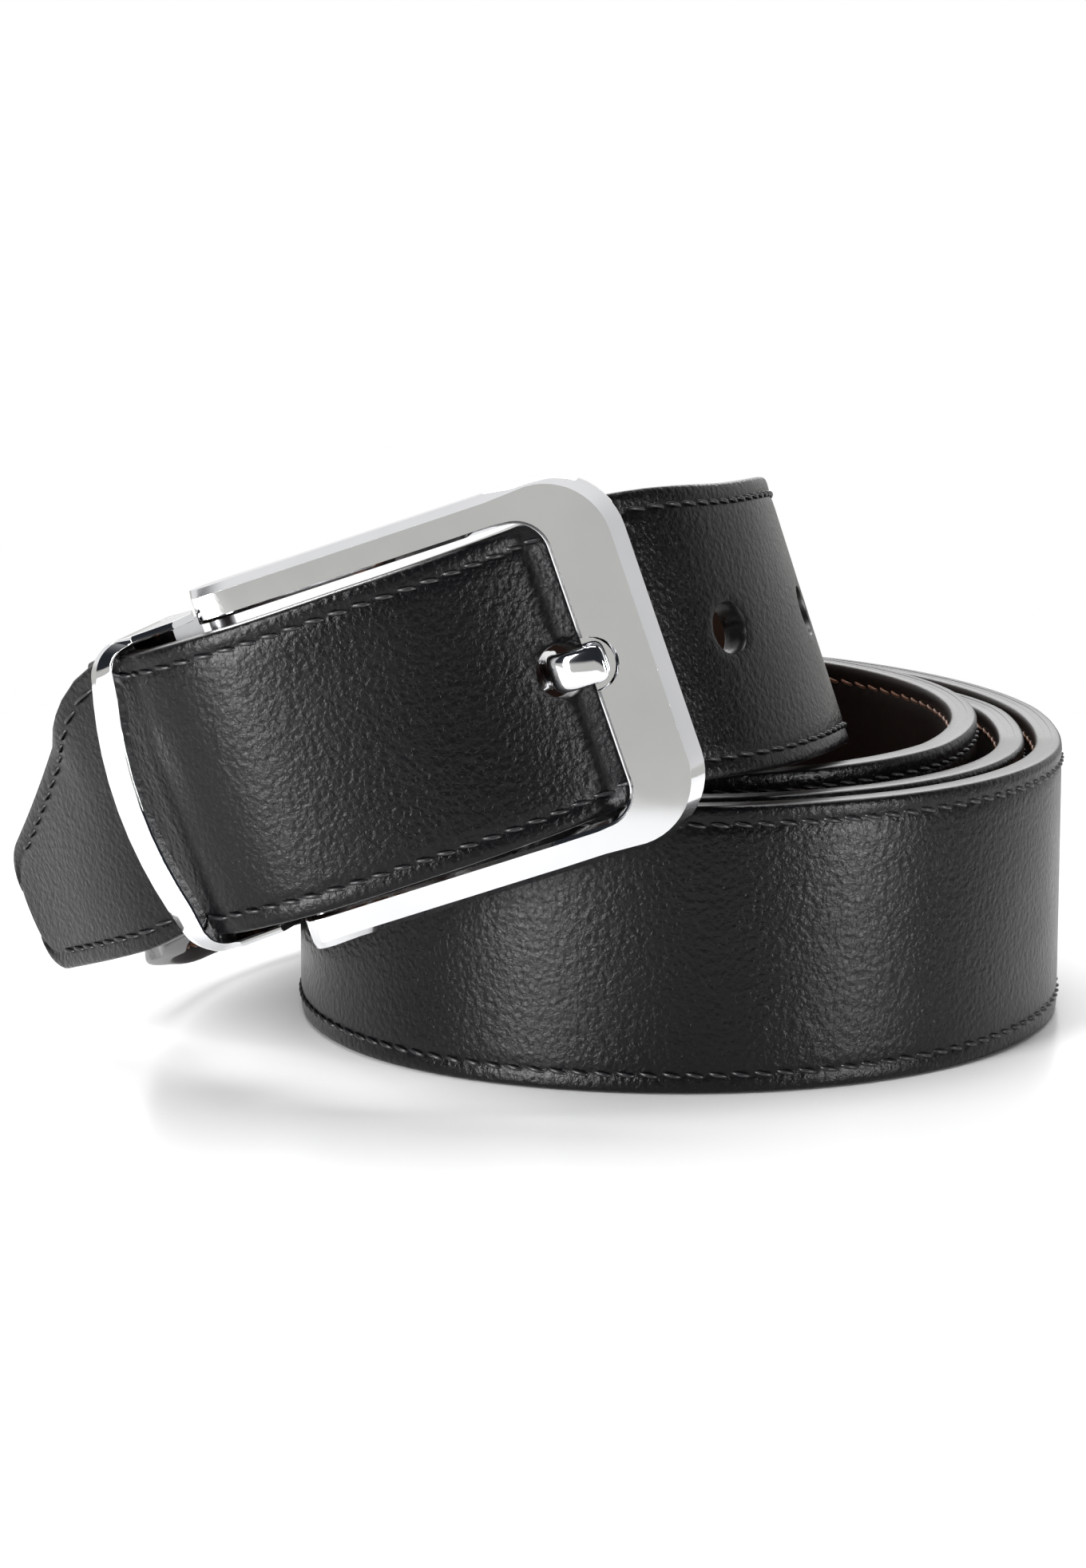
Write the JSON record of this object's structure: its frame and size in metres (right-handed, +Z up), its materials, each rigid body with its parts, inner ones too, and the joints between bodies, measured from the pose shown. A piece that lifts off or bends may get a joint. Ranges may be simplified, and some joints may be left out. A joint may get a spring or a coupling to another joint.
{
  "type": "leather dress belt",
  "caption": "Reversible leather dress belt, coiled on edge and buckled: layered stitched strap, swivel pin buckle with hinged frame and prong, clamp and fixed keeper.",
  "frame": {"origin": "on the floor that the coil stands on, under the middle of the belt's bounding box", "axes": "+Z up; +X to the right along the coil's width, seen from the buckle side; +Y back from the buckle through the coil"},
  "size_m": [0.1357, 0.124, 0.0751],
  "materials": {
    "black_leather": "glossy, fine grain",
    "bonded_core": "matt, edge painted",
    "brown_leather": "smooth, low sheen",
    "black_thread": "waxed thread",
    "brown_thread": "waxed thread",
    "polished_plate": "mirror polished plating",
    "satin_plate": "polished plating",
    "plain_steel": "turned steel"
  },
  "bodies": {
    "belt": {"face_leather": "black_leather", "strap_core": "bonded_core", "lining_leather": "brown_leather", "face_stitching": "black_thread", "lining_stitching": "brown_thread", "clamp_box": "satin_plate", "clamp_plate": "satin_plate", "clamp_screws": "plain_steel", "keeper_loop": "satin_plate", "keeper_rivets": "plain_steel"},
    "swivel": {"swivel_yoke": "polished_plate", "swivel_stud": "plain_steel", "spring_washer": "plain_steel", "retaining_washer": "plain_steel", "heel_pin": "plain_steel"},
    "frame": {"buckle_frame": "polished_plate"},
    "prong": {"prong": "polished_plate"}
  },
  "joints": [
    {"name": "swivel_turn", "type": "hinge", "parent": "belt", "child": "swivel", "pos_m": [-0.02939, -0.0494, 0.04127], "axis": [0.8001, -0.5266, 0.2875], "range_deg": [-0.8, 0.8]},
    {"name": "frame_hinge", "type": "hinge", "parent": "swivel", "child": "frame", "pos_m": [-0.03161, -0.05314, 0.0406], "axis": [0.3248, -0.0227, -0.9455], "range_deg": [0, 1.9]},
    {"name": "prong_hinge", "type": "hinge", "parent": "frame", "child": "prong", "pos_m": [-0.03161, -0.05314, 0.0406], "axis": [0.3248, -0.0227, -0.9455], "range_deg": [0, 1.4]}
  ]
}
